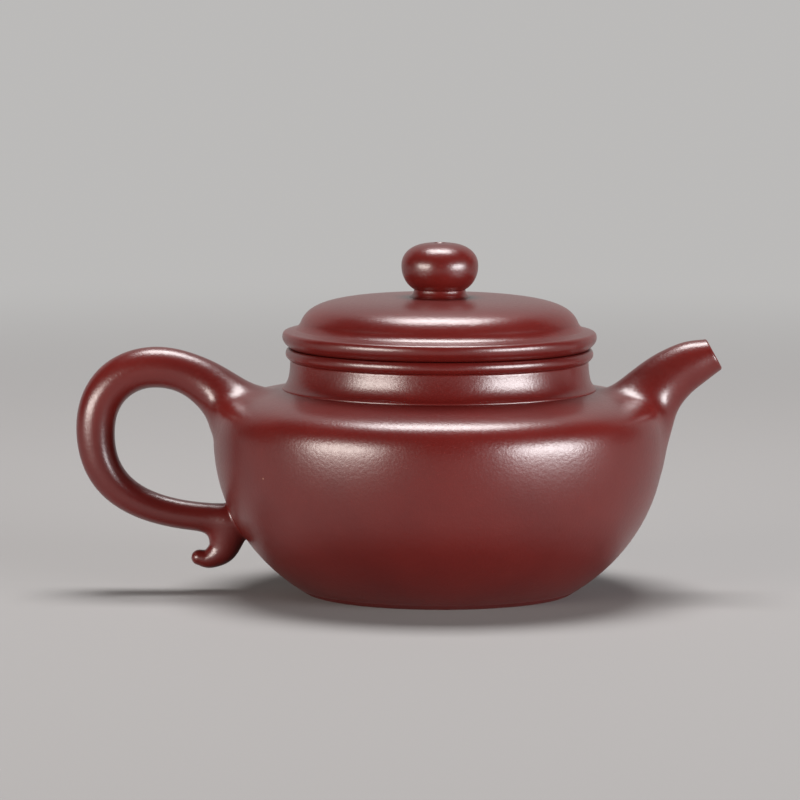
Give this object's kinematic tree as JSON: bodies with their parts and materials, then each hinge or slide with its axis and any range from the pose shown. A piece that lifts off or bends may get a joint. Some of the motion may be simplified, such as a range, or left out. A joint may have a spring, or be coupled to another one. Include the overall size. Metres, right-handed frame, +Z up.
{
  "type": "clay teapot",
  "caption": "Squat round unglazed red clay teapot with a short curved spout, an ear handle with a curled tail and a lift-off lid with a ball knob.",
  "frame": {"origin": "centre of the base, on the plane of the standing ring", "axes": "+Z up along the axis of the body and lid, +X towards the spout, -X towards the handle"},
  "size_m": [0.1329, 0.0928, 0.072],
  "materials": {
    "clay": "unglazed dark red clay, burnished to a satin sheen with a fine grain",
    "inner_clay": "the same clay left matt, scraped smooth",
    "base_clay": "the same clay, matt under the foot"
  },
  "bodies": {
    "pot": {"base_disc": "base_clay", "belly_wall": "clay", "shoulder_disc": "clay", "neck_band": "clay", "mouth_rim": "clay", "spout": "clay", "strainer_dome": "inner_clay", "handle_loop": "clay", "handle_tail": "clay"},
    "lid_flange": {"lid_flange": "inner_clay"},
    "lid": {"lid_rim": "clay", "lid_dome": "clay", "knob_stem": "clay", "knob": "clay"}
  },
  "joints": [
    {"name": "lid_lift", "type": "slide", "parent": "pot", "child": "lid_flange", "axis": [0, 0, 1], "range_m": [0, 0.06]},
    {"name": "lid_turn", "type": "hinge", "parent": "lid_flange", "child": "lid", "pos_m": [0, 0, 0.0505], "axis": [0, 0, 1], "continuous": true}
  ]
}
